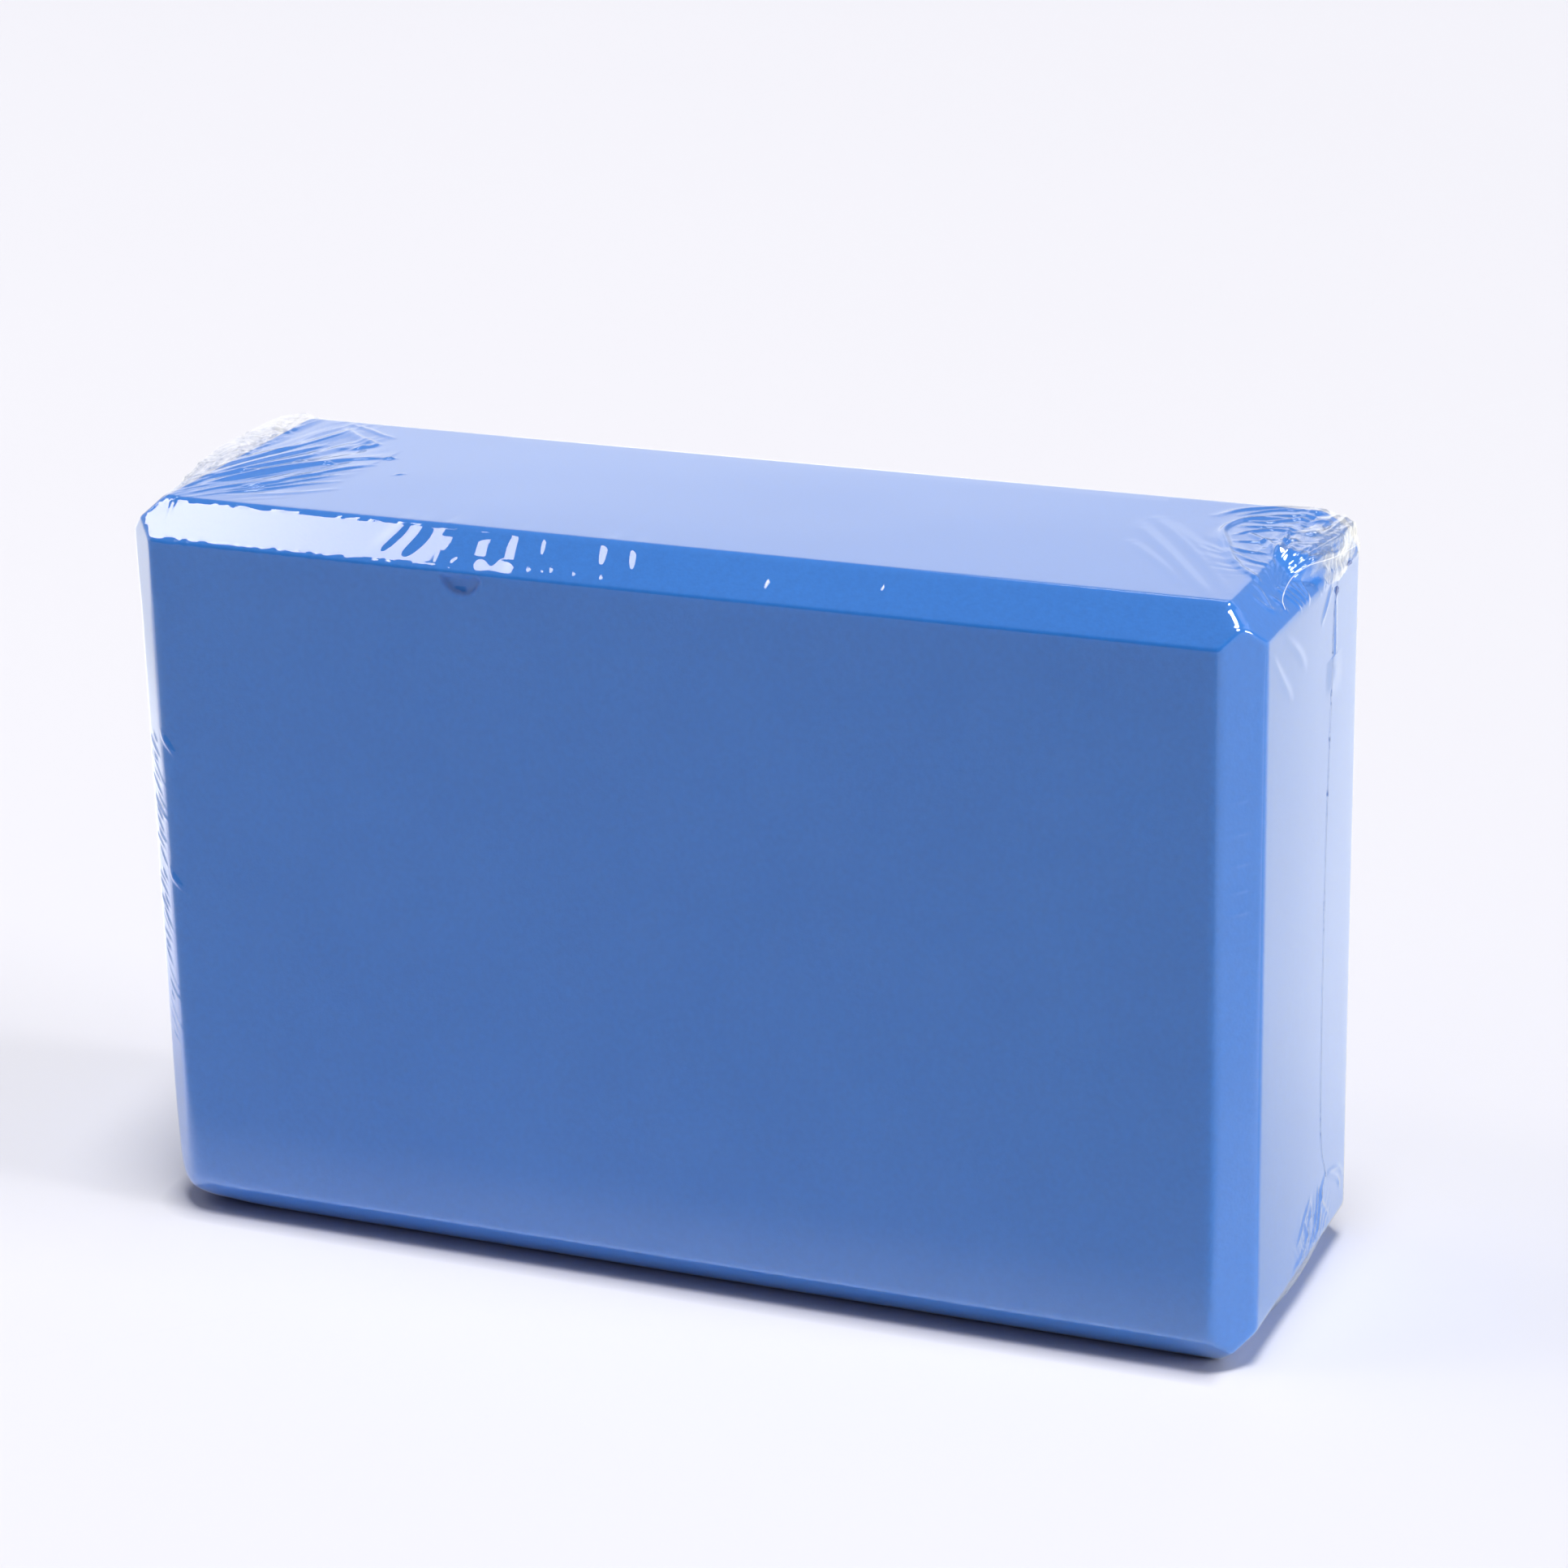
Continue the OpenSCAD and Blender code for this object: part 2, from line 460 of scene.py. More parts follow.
def box_grid(x_lines, y_lines, z_lines):
    """Points and four-sided faces that cover a box, from the grid lines along its three sides."""
    lines = (x_lines, y_lines, z_lines)
    points, faces, start = [], [], 0
    for axis, end in product(range(3), (0, -1)):
        u_axis, v_axis = (axis + 1) % 3, (axis + 2) % 3
        u, v = np.meshgrid(lines[u_axis], lines[v_axis], indexing="ij")
        side = np.empty((u.size, 3))
        side[:, axis] = lines[axis][end]
        side[:, u_axis] = u.ravel()
        side[:, v_axis] = v.ravel()
        index = np.arange(u.size).reshape(u.shape) + start
        corners = [index[:-1, :-1], index[1:, :-1], index[1:, 1:], index[:-1, 1:]]
        if end == 0:
            corners.reverse()
        faces.append(np.stack([corner.ravel() for corner in corners], axis=1))
        points.append(side)
        start += u.size
    points = np.concatenate(points)
    faces = np.concatenate(faces)
    unique, renumber = np.unique(np.round(points, 4), axis=0, return_inverse=True)
    return unique, renumber.ravel()[faces]


def make_piece(name, points, faces, finish):
    """A mesh piece from points in millimetres about the middle of the brick, riding on the body."""
    mesh = bpy.data.meshes.new(name)
    mesh.from_pydata(((points + centre) * MM).tolist(), [], faces.tolist())
    mesh.polygons.foreach_set("use_smooth", [True] * len(mesh.polygons))
    mesh.materials.append(finish)
    mesh.validate()
    mesh.update()
    piece = add_object(name, mesh)
    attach(piece, "root")
    print(name, "triangles:", sum(len(p.vertices) - 2 for p in mesh.polygons))
    return piece


print("a box with three lines a side has", len(box_grid(*[np.arange(3)] * 3)[0]), "points")

# %% [markdown]
# ## Soft random shapes
#
# Film and foam are never perfectly flat. A seeded lattice of random values, blended smoothly
# between its nodes, gives slow waves. The same waves folded at zero give sharp crests, which is how
# crumpled film looks. It is the same on every run.

# %% Seeded noise
SCRAMBLE = np.array([73856093, 19349663, 83492791])  # large primes, one for each axis


def lattice_value(cell, seed):
    """One fixed random value, from -1 to 1, for each whole-numbered cell."""
    mixed = (cell * SCRAMBLE).sum(axis=-1) + seed * 961748927
    mixed = (mixed ^ (mixed >> 13)) * 1274126177
    mixed = (mixed ^ (mixed >> 16)) & 0xFFFF
    return mixed / 32767.5 - 1


def waves(points, size, seed):
    """Smooth random waves of about the given size, from -1 to 1."""
    place = points / size
    cell = np.floor(place).astype(np.int64)
    part = place - cell
    part = part * part * (3 - 2 * part)
    total = np.zeros(len(points))
    for corner in product((0, 1), repeat=3):
        weight = np.where(corner, part, 1 - part).prod(axis=1)
        total += weight * lattice_value(cell + np.array(corner), seed)
    return total


def crests(points, size, seed):
    """Random waves folded at zero: sharp crests with wide valleys between them, from 0 to 1."""
    return 1 - np.abs(waves(points, size, seed)) * 1.6


print("waves at three places:", np.round(waves(np.eye(3) * 10, 4.0, 1), 3))

# %% [markdown]
# ## Foam block
#
# Closed-cell foam is matt and even, with a skin of cut cells that is felt more than seen. The block
# has one dent, a small half-round nick under the top bevel. It is pressed into the mesh, because
# its rim throws a shadow. The foam is soft, and solid right through.

# %% Foam material
foam_finish, tree = new_material("blue_closed_cell_foam")
place = add_node(tree, "ShaderNodeTexCoord").outputs["Object"]
blue = uneven(tree, 45.0, 4.0, (0.012, 0.174, 0.61), (0.021, 0.198, 0.66))
grain = uneven(tree, 900.0, 3.0, (0.86, 0.88, 0.9), (1.14, 1.12, 1.1))
toned = blend(tree, 1.0, blue, grain, blend_type="MULTIPLY")
cells = add_node(tree, "ShaderNodeTexVoronoi", {"Vector": place, "Scale": 1600.0})
skin = add_node(tree, "ShaderNodeBump",
                {"Height": cells.outputs["Distance"], "Strength": 0.35, "Distance": 0.00006})
foam = add_node(tree, "ShaderNodeBsdfPrincipled",
                {"Base Color": toned, "Roughness": 0.6, "Specular IOR Level": 0.25,
                 "Sheen Weight": 0.08, "Sheen Roughness": 0.4, "Normal": skin.outputs["Normal"]})
show(tree, foam.outputs["BSDF"])
print("foam material:", len(tree.nodes), "nodes")

# %% [markdown]
# The nick is a round bite out of the front edge. The grid is finer there and along the edges, so that
# the rim and the rounding keep their shape, and coarse on the flat faces.

# %% Foam mesh
NICK_AT = np.array([-41.1, -37.5, 67.4])
NICK_RADIUS = 4.7
NICK_DEPTH = 1.25


def nick_depth(points, depth, softness):
    """How far the half-round nick is pressed in at each point."""
    reach = np.linalg.norm((points - NICK_AT) * (1, 0.35, 1), axis=1)
    in_front = smooth_step(-points[:, 1], 33, 36) * (1 - smooth_step(points[:, 2], 66.4, 67.6))
    return depth * (1 - smooth_step(reach, NICK_RADIUS - softness, NICK_RADIUS)) * in_front


foam_x = graded_lines((-115, -100, 1.2), (-100, -46, 2.5), (-46, -35, 0.35), (-35, 100, 2.5),
                      (100, 115, 1.2))
foam_y = graded_lines((-37.5, -28, 0.8), (-28, 28, 2.5), (28, 37.5, 0.8))
foam_z = graded_lines((-75, -63, 0.9), (-63, 60, 2.5), (60, 75, 0.4))
fit = half_size / NOMINAL_HALF
foam_grid, foam_faces = box_grid(foam_x * fit[0], foam_y * fit[1], foam_z * fit[2])
foam_points, foam_outward = onto_brick(foam_grid)
foam_points -= foam_outward * nick_depth(foam_points, NICK_DEPTH, 1.3)[:, None]
foam_block = make_piece("foam_brick", foam_points, foam_faces, foam_finish)
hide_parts("foam_block")

# %% [markdown]
# ## Folds in the film
#
# A fold is a low ridge that follows a route over the brick. A route is a short list of given points.
# A smooth curve is drawn through them, and the film is lifted by a bell-shaped amount that falls off
# with distance from that curve.

# %% Folds
def smooth_route(route, per_stretch=6):
    """A Catmull-Rom curve through the route's points."""
    route = np.array(route, float)
    padded = np.vstack([2 * route[0] - route[1], route, 2 * route[-1] - route[-2]])
    curve = []
    for a, b, c, d in zip(padded[:-3], padded[1:-2], padded[2:-1], padded[3:]):
        for t in np.linspace(0, 1, per_stretch, endpoint=False):
            curve.append(0.5 * (2 * b + (c - a) * t + (2 * a - 5 * b + 4 * c - d) * t ** 2
                                + (3 * b - a - 3 * c + d) * t ** 3))
    curve.append(route[-1])
    return np.array(curve)


def fold_lift(points, height, width, route):
    """Lift of a fold at each point. It starts and ends at nothing and is highest between.

    The width is one number, or two: the reach towards -X and the reach towards +X.
    """
    left, right = width if isinstance(width, tuple) else (width, width)
    curve = smooth_route(route)
    margin = max(left, right) * 3
    near = np.all((points > curve.min(axis=0) - margin) & (points < curve.max(axis=0) + margin), axis=1)
    spots = points[near]
    best = np.full(len(spots), np.inf)
    along = np.zeros(len(spots))
    reach = np.full(len(spots), left)
    steps = len(curve) - 1
    for number, (start, end) in enumerate(zip(curve[:-1], curve[1:])):
        span = end - start
        part = np.clip((spots - start) @ span / (span @ span), 0, 1)
        away = spots - start - part[:, None] * span
        gap = (away ** 2).sum(axis=1)
        closer = gap < best
        reach[closer] = np.where(away[closer, 0] < 0, left, right)
        best[closer] = gap[closer]
        along[closer] = (number + part[closer]) / steps
    lift = np.zeros(len(points))
    fade = np.sqrt(np.sin(np.pi * np.clip(along, 0.02, 0.98)))
    lift[near] = height * np.exp(-best / reach ** 2) * fade
    return lift


print("lift in the middle of a fold 1 mm high:",
      np.round(fold_lift(np.array([[1.0, 0, 0]]), 1.0, 0.5, ((0, 0, 0), (2, 0, 0))), 2))

# %% [markdown]
# The bag has a welded seam down each end. Where a seam meets the top, the spare film is drawn into
# a pucker with looped folds round it. The right one is the larger. Soft creases run from it to the
# front corner.

# %% Folds of the right end
TOP = half_size[2]
END = half_size[0]


def on_top(*spots):
    """Route points on the top face from their x and y."""
    return [(x, y, TOP) for x, y in spots]


def on_end(*spots):
    """Route points on the right end from their y and z."""
    return [(END, y, z) for y, z in spots]


def on_end_bevel(*spots):
    """Route points across the bevel between top and right end, from share, 0 at the top, and y."""
    return [(END - BEVEL * (1 - share), y, TOP - BEVEL * share) for share, y in spots]


def anywhere(*spots):
    """Route points that are already x, y and z."""
    return list(spots)


def folds_on(surface, rows):
    """Folds that all lie on one surface. Each row is a height, a width and the route's spots."""
    return [(height, width, surface(*spots)) for height, width, *spots in rows]


right_folds = folds_on(on_top, (
    (0.45, 0.8, (90, 20.5), (93, 25), (97, 27.5), (103, 30), (108, 29), (113, 24)),
    (0.35, 0.5, (94, 22), (99, 26.5), (104, 28), (109, 26.5)),
    (0.58, 0.75, (105, 22), (99, 21), (95, 17.5), (94, 11), (97, 3), (102, -8), (108, -15), (113, -15)),
    (0.4, 0.5, (95, 18), (99, 22), (105, 24.5), (110, 24)),
    (0.4, 0.5, (96.5, 18), (101, 18.8), (105, 21.5), (109, 22)),
    (0.4, 0.5, (96.5, 14.5), (103, 15.5), (108, 14)),
    (0.4, 0.5, (97, 9), (99.5, 12), (103.5, 14), (109, 12)),
    (0.8, 0.75, (99, 10.5), (104, 5.5), (107, 1), (110, -4), (112.5, -7)),
    (0.4, 0.5, (98, 5), (103, 5.5), (105, 8)),
    (0.4, 0.5, (99, 1), (102, -1), (106, -1.5)),
    (0.4, 0.5, (100, -2), (104.5, -6), (108.5, -7.5)),
    (0.45, 0.5, (107, -3), (110, -8), (112, -10.5)),
    (0.5, 0.5, (108, 16.5), (111, 15), (115, 14)),
    (0.45, 0.5, (109, 12), (111, 5.5), (112, 3)),
    (0.45, 0.5, (111.5, 11), (113, 3), (114, -1)),
))
right_folds += folds_on(anywhere, (
    (1.4, 1.5, (107.5, 0.5, 75.5), (110.5, 0, 73.5)),
    (1.1, 1.2, (108, 21.5, 75.4), (111, 21.2, 73)),
    (1.0, 1.0, (108.5, 13, 75), (110, 12.8, 74)),
    (0.9, 0.9, (106.5, 7.8, 75.5), (108.5, 7.6, 75.2)),
    (0.5, 0.5, (114, 20, 74.5), (113.5, 9, 75.5), (112, -4, 75), (110.5, -13, 74.5)),
))
right_folds += folds_on(on_end_bevel, (
    (0.32, 0.5, (0.43, -16), (0.64, -15.2), (0.86, -15)),
    (0.34, 0.5, (0.36, -12), (0.57, -11), (0.79, -10), (1.0, -9.5)),
    (0.3, 0.4, (0.43, -9.5), (0.69, -8.6), (0.97, -7.5)),
    (0.34, 0.5, (0.5, -7), (0.71, -6), (1.0, -5.5)),
    (0.3, 0.4, (0.54, -4.5), (0.79, -4.2), (1.0, -4.6)),
    (0.34, 0.5, (0.5, -1), (0.86, -3), (1.0, -4.5)),
    (0.22, 0.6, (0.2, -22), (0.57, -20.5), (0.71, -18), (0.64, -15)),
    (0.2, 0.5, (0.07, -18), (0.29, -18), (0.64, -20)),
))
right_folds += folds_on(on_top, (
    (0.12, 1.3, (78, 10), (88.5, -5.5), (97.5, -19.5), (104, -29.5)),
    (0.12, 1.2, (80, 15), (89.5, 1.5), (98.5, -12.5), (106, -26)),
    (0.08, 1.2, (80, -1), (89.5, -13), (97, -24)),
    (0.08, 1.0, (84, 12), (93, 0), (103, -16)),
))
right_folds += folds_on(on_end, (
    (0.07, 0.9, (-28, 64.5), (-21, 58), (-15, 53)),
    (0.07, 0.9, (-20, 65.5), (-12, 61), (-6, 56.5)),
    (0.3, 0.6, (10.8, 66.5), (8, 64), (5, 61.5)),
    (0.25, 0.5, (14, 64), (14, 50), (11.8, 40)),
))
print("folds of the right end:", len(right_folds))

# %% [markdown]
# The left pucker is drawn out into long folds that run along the top from the end bevel.

# %% Folds of the left end
left_folds = folds_on(on_top, (
    (0.52, (1.6, 0.6), (-109, -24), (-107.5, -14), (-105.5, -6), (-103, 2), (-99, 9), (-96, 18),
        (-95, 23)),
    (0.5, (2.2, 0.5), (-108, -25), (-105.5, -17), (-103, -9), (-100, -1), (-97, 6), (-94.5, 12)),
    (0.58, (3.0, 0.55), (-107, -26), (-104.5, -17), (-102, -12), (-99, -6), (-95.5, 0), (-93.5, 5)),
    (0.58, (3.2, 0.55), (-106, -28), (-100.5, -18), (-96.5, -12.5), (-92, -5), (-88, 0), (-84, 4),
        (-78, 7.5)),
    (0.36, (1.2, 0.5), (-104, -22), (-99, -14), (-95, -8), (-90, -1)),
    (0.52, (2.4, 0.6), (-105, -29), (-98.5, -22), (-93, -17.5), (-89, -12), (-85.5, -6.5), (-83, -2.5),
        (-79, 1.5)),
    (0.26, (1.2, 0.5), (-100, -25.5), (-92, -19), (-86, -12), (-82, -7)),
    (0.24, 0.55, (-103, -30), (-97, -25), (-91.5, -21), (-85.5, -15.5), (-80, -11)),
    (0.12, 0.65, (-92, -25), (-84.5, -21), (-78, -16)),
    (0.45, (1.6, 0.6), (-96, 24), (-91.5, 20), (-87, 17), (-85, 15.5), (-86, 13), (-90, 10.5)),
    (0.3, 0.5, (-88.5, 10), (-86.8, 12), (-86.5, 14)),
    (0.26, 0.65, (-97, 28), (-91.5, 25), (-87.5, 22.5), (-84, 21)),
    (0.5, 0.6, (-101.5, -11.6), (-98, -9.6)),
    (0.45, 0.5, (-94.8, -2.4), (-92.4, -0.8)),
    (0.45, 0.5, (-88, -1), (-86.6, -0.2)),
    (0.45, 0.5, (-78.8, 6.4), (-76.8, 7.4)),
    (0.2, 0.4, (-71.5, -3.5), (-70, -2)),
))
print("folds of the left end:", len(left_folds))

# %% [markdown]
# On the top bevel the film is nearly a plane mirror, and a softbox shines in its left half. Faint
# ripples across the bevel, a few hundredths of a millimetre high, break the end of that bright band
# into slanted streaks and leave small bright spots further along.

# %% Ripples on the bevels
def on_bevel(*spots):
    """Route points across the top bevel from x and the share of its height, 0 low to 1 high."""
    return [(x, BEVEL * share - half_size[1], TOP - BEVEL + BEVEL * share) for x, share in spots]


def on_side_bevel(*spots):
    """Route points on the right front bevel from the share of its width and z."""
    return [(END - BEVEL + BEVEL * share, BEVEL * share - half_size[1], z) for share, z in spots]


bevel_folds = folds_on(on_bevel, (
    (0.034, 1.5, (-55.3, 1.25), (-55.7, 0.9), (-57.5, 0.6), (-60.1, 0.28)),
    (0.03, 1.5, (-51.5, 1.25), (-51.7, 0.9), (-52.8, 0.6), (-55.1, 0.26)),
    (0.03, (0.8, 4.0), (-46.8, 1.2), (-46.8, 0.75)),
    (0.006, 1.3, (-44.0, 0.75), (-45.0, 0.35)),
    (0.007, 0.9, (-42.6, 0.65), (-42.5, 0.42)),
    (0.007, 0.8, (-43.3, 0.14), (-41.4, 0.3)),
    (0.032, 1.9, (-37.4, 0.75), (-36.7, 0.45), (-36.0, 0.0)),
    (-0.095, (0.7, 4.0), (-39.6, 0.38), (-39.6, -0.25)),
    (0.034, 1.4, (-31.0, 1.0), (-30.8, 0.5), (-30.2, 0.0), (-30.2, -0.3)),
    (0.09, (4.0, 0.9), (-29.8, 0.38), (-29.8, -0.25)),
    (0.012, 0.6, (-27.1, 0.6), (-27.0, 0.38)),
    (0.036, 1.1, (-26.6, 0.28), (-26.5, 0.08)),
    (0.03, 0.85, (-25.3, 0.9), (-24.8, 0.45)),
    (0.028, 0.6, (-24.0, 0.24), (-24.0, 0.12)),
    (0.034, 0.8, (-22.3, 0.32), (-22.0, 0.1)),
    (0.036, 0.7, (-17.5, 0.27), (-17.3, 0.12)),
    (0.083, 1.7, (-12.6, 1.0), (-12.0, 0.65), (-11.6, 0.3)),
    (0.045, 0.7, (-11.8, 0.24), (-11.7, 0.1)),
    (0.093, 1.6, (-6.7, 0.95), (-5.9, 0.6), (-5.1, 0.25)),
    (0.12, 0.6, (20.9, 0.25), (21.5, 0.65)),
    (0.14, 0.5, (43.3, 0.45), (43.7, 0.75)),
))
dash_heights = (39.0, 32.7, 26.8, 21.6, 17.3)
side_dashes = [(0.10, 0.45, on_side_bevel((0.25, z - 0.1), (0.68, z + 0.1))) for z in dash_heights]
print("ripples:", len(bevel_folds), "on the top bevel,", len(side_dashes), "on the right front bevel")

# %% [markdown]
# Down the left edge the film has shrunk into a row of short slanted wrinkles. They are much alike, so
# each takes its length, slant and height from seeded random draws about a common middle.

# %% Wrinkles of the left edge
wrinkle_heights = (26, 23.6, 21.5, 19.8, 17.9, 15.6, 13.8, 11.7, 9.9, 7.4, 5.6, 3.5, 1.2, -2.6, -4.4,
                   -6.3, -8.0, -9.9, -11.8, -14, -16.2, -18.5, -21, -24, -26.5, -29, -32, -35, -37.5)
wrinkle_draws = np.random.default_rng(17).uniform(-1, 1, (len(wrinkle_heights), 4))
left_wrinkles = []
for z, (starts, ends, tilts, swells) in zip(wrinkle_heights, wrinkle_draws):
    first, last = 1.6 + 1.4 * starts, 5.4 + 1.5 * ends
    slant = 0.7 + 0.35 * tilts
    route = [(-END + step, -half_size[1] + 6.8 - step, z + slant * (3.6 - step))
             for step in (first, (first + last) / 2, last)]
    left_wrinkles.append((0.28 + 0.12 * swells, 0.42, route))
print("wrinkles of the left edge:", len(left_wrinkles))

# %% [markdown]
# The front face has a few faint creases, and low on the right end small folds gather where the weld
# turns under the block.

# %% Creases of the front and low on the right end
def on_front(*spots):
    """Route points on the front face from their x and z."""
    return [(x, -half_size[1], z) for x, z in spots]


front_folds = folds_on(on_front, (
    (0.14, 0.45, (-23, 29), (-17, 32.5), (-12, 33.8), (-7, 34.4)),
    (-0.06, 0.6, (-22, 27.5), (-15, 30.5)),
    (0.12, 0.35, (3, 64.3), (4.6, 62.4)),
    (0.08, 0.35, (1.8, 65.0), (2.8, 63.6)),
    (0.5, 0.6, (-109, 29), (-107, 26.5), (-104.8, 23.4)),
    (0.55, 0.6, (-109.5, 1), (-107.5, -1.8), (-105.2, -4.4)),
    (0.12, 0.5, (-105.2, -4.4), (-103, -6)),
    (0.16, 1.5, (-108.5, 24), (-104, 12), (-105, 0)),
    (0.1, 1.6, (-101, 27), (-97, 21), (-95, 14)),
))
lower_folds = folds_on(on_end, (
    (0.38, 0.45, (15.5, -55.5), (12.4, -57.5), (13, -60), (18.5, -65.5)),
    (0.32, 0.45, (15.5, -55), (23.8, -59.5), (26.5, -62.5)),
    (0.26, 0.4, (17.5, -55.5), (24.5, -57.5), (28.5, -60.5)),
    (0.36, 0.45, (12.4, -57), (11.5, -60.5), (10, -65), (5.4, -67)),
    (0.3, 0.4, (10.4, -56), (9.5, -59.5), (7.6, -64), (4.4, -67)),
    (0.28, 0.45, (4.6, -56), (0.5, -58.5), (-3.6, -62)),
    (0.28, 0.45, (1, -59), (4, -65)),
    (0.34, 0.45, (1, -64.5), (-2, -65.8), (-5.5, -66.3)),
    (0.26, 0.4, (6, -58), (3, -62), (1, -66.5)),
))
print("creases:", len(front_folds), "on the front,", len(lower_folds), "low on the right end")

# %% [markdown]
# The gathers cross the edge between the top and an end. To draw pleats across it, the surface is laid
# out flat: one number says how far in over the edge a point is, and the other is its y. Pleats are
# then a fan about a hub. The spare film also stands out over the end bevel like a small tent, because
# it is drawn straight from the top to the end.

# %% Unrolled ends
def unrolled(points, side, level=1):
    """Flat places near an end: how far in over the edge, and y. Side and level are 1 or -1."""
    inward = (END - side * points[:, 0]) - (TOP - level * points[:, 2])
    near = (side * points[:, 0] > 0) & (level * points[:, 2] > 0)
    inward = np.where(near, inward, 200)
    return np.stack([inward, points[:, 1]], axis=1)


def patch(places, at, radius, core=0.2):
    """1 in the middle of an oval patch, falling smoothly to 0 at its rim."""
    return 1 - smooth_step(np.linalg.norm((places - at) / radius, axis=1), core, 1)


def fan_pleats(places, hub, spread, length, seed):
    """Pleats that spread from a hub like a fan: sharp crests by angle, changing slowly outward."""
    offset = places - hub
    reach = np.linalg.norm(offset, axis=1)
    turn = np.degrees(np.arctan2(offset[:, 1], offset[:, 0]))
    return crests(np.stack([turn / spread, reach / length, turn * 0], axis=1), 1.0, seed)


def square_off(inward):
    """Lift that carries the film straight out over an end bevel, to a nearly square edge."""
    return np.clip(BEVEL - np.sqrt(inward ** 2 + 1.8 ** 2), 0, None) / math.sqrt(2)


print("squared off, the film stands off the middle of an end bevel by, mm:", np.round(square_off(0.0), 2))

# %% [markdown]
# All folds and pleats are added up into one height above the foam. A height alone can't overhang, but
# shrunk film lies so close that it never needs to. Where layers do lie over each other, they are
# made as pieces of their own further down.

# %% Film height
REST_GAP = 0.1  # between tight film and foam
LEAST_GAP = 0.02
FILM_DENT = 0.35  # how far the film is drawn into the nick


def film_height(points, outward):
    """How far the film stands off the foam, in millimetres."""
    lift = np.full(len(points), REST_GAP)
    for height, width, route in (right_folds + left_folds + lower_folds + bevel_folds + side_dashes
                                 + left_wrinkles + front_folds):
        lift += fold_lift(points, height, width, route)
    flat_top = smooth_step(outward[:, 2], 0.72, 0.9)
    end_bevel = np.clip(np.abs(outward[:, 0] * outward[:, 2]) * 2, 0, 1)
    behind = smooth_step(points[:, 1], -31, -26)

    # The right pucker: a cap of crumpled film over the end bevel, and pleats round it.
    places = unrolled(points, 1)
    gathered = patch(places, (8, 8), (17, 26), 0.5) * smooth_step(places[:, 0], -9, -5)
    cap = smooth_step(points[:, 1] - 5 * smooth_step(-places[:, 0], 0, 4), -4, 1.5)
    cap *= 1 - smooth_step(points[:, 1], 27, 35)
    cap *= smooth_step(places[:, 0], -8.5, -6) * (1 - smooth_step(places[:, 0], 7, 13))
    lift += cap * 0.96 * square_off(places[:, 0])
    lift += cap * (0.5 * fan_pleats(places, hub=(5, -14), spread=3.2, length=12, seed=11)
                   + 0.16 * crests(points, 2.2, 3) + 0.1 * crests(points, 1.2, 4))
    lift += gathered * 0.14 * fan_pleats(places, hub=(1, -13), spread=5.5, length=12, seed=15)

    # The left pucker, which is longer and lies flatter.
    places = unrolled(points, -1)
    gathered = patch(places, (12, 0), (26, 38), 0.5) * flat_top * behind
    cap = smooth_step(points[:, 1], -34, 4) * (1 - smooth_step(points[:, 1], 30, 37))
    cap *= 1 - smooth_step(np.abs(places[:, 0] + 1), 7.5, 12)
    lift += cap * 0.96 * square_off(places[:, 0])
    lift += cap * (0.3 * fan_pleats(places, hub=(-4, -44), spread=1.6, length=9, seed=12)
                   + 0.22 * crests(points, 2.4, 5) + 0.12 * crests(points, 1.2, 6))
    lift += gathered * 0.22 * fan_pleats(places, hub=(-2, -42), spread=2.2, length=16, seed=16)

    # The smaller gathers low on both ends.
    for side, seed in ((1, 13), (-1, 14)):
        places = unrolled(points, side, -1)
        gathered = patch(places, (-9, 6), (13, 18), 0.3)
        lift += gathered * 0.12 * fan_pleats(places, hub=(0, 8), spread=5, length=6, seed=seed)
        lift += patch(places, (-2, -2), (7, 26)) * (1.0 * end_bevel + 0.35 * crests(points, 1.8, seed + 2))

    # Small waves at the rims of the top bevel, slow ones everywhere, and the dent over the nick.
    bevel_facing = np.clip(-outward[:, 1] * outward[:, 2] * 2, 0, 1)
    rim = smooth_step(bevel_facing, 0.5, 0.9) * (1 - smooth_step(bevel_facing, 0.9985, 0.99995))
    lift += rim * 0.09 * waves(points, 1.3, 8) * (1 - smooth_step(points[:, 0], -48, -40))
    lift += 0.02 * waves(points, 22.0, 7) * (1 - bevel_facing ** 2)
    lift = np.maximum(lift, LEAST_GAP)
    dent = nick_depth(points, FILM_DENT, 3.0)
    lift -= dent * (1 - 0.3 * crests(points, 1.6, 9))
    return lift


tip = np.array([[END - BEVEL / 2, 15.0, TOP - BEVEL / 2]])
tip_facing = np.array([[1.0, 0.0, 1.0]]) / math.sqrt(2)
print("film stands off the foam at the right tip, mm:", np.round(film_height(tip, tip_facing), 2))

# %% [markdown]
# Clear film is a mirror that is mostly missing. Both of its faces reflect, which gives 2F / (1 + F) of
# the light for a single reflection of F, and the rest passes straight through. So the material is a
# mix of a Transparent and a Glossy shader by that share. Glass would bend the light, and real film is
# too thin for that to show. A closed slab would do the same with twice the triangles.

# %% Film material
FILM_INDEX = 1.54
head_on = ((FILM_INDEX - 1) / (FILM_INDEX + 1)) ** 2
print("share of light that the film reflects head on:", round(2 * head_on / (1 + head_on), 3))
film_finish, tree = new_material("clear_shrink_film")
behind = add_node(tree, "ShaderNodeNewGeometry").outputs["Backfacing"]
index = add_node(tree, "ShaderNodeMath", {0: behind, 1: 1 / FILM_INDEX - FILM_INDEX, 2: FILM_INDEX},
                 operation="MULTIPLY_ADD").outputs["Value"]
one_face = add_node(tree, "ShaderNodeFresnel", {"IOR": index}).outputs["Fac"]
share = add_node(tree, "ShaderNodeMath", {0: sums(tree, "MULTIPLY", one_face, 2.0),
                                          1: sums(tree, "ADD", one_face, 1.0)},
                 operation="DIVIDE", use_clamp=True).outputs["Value"]
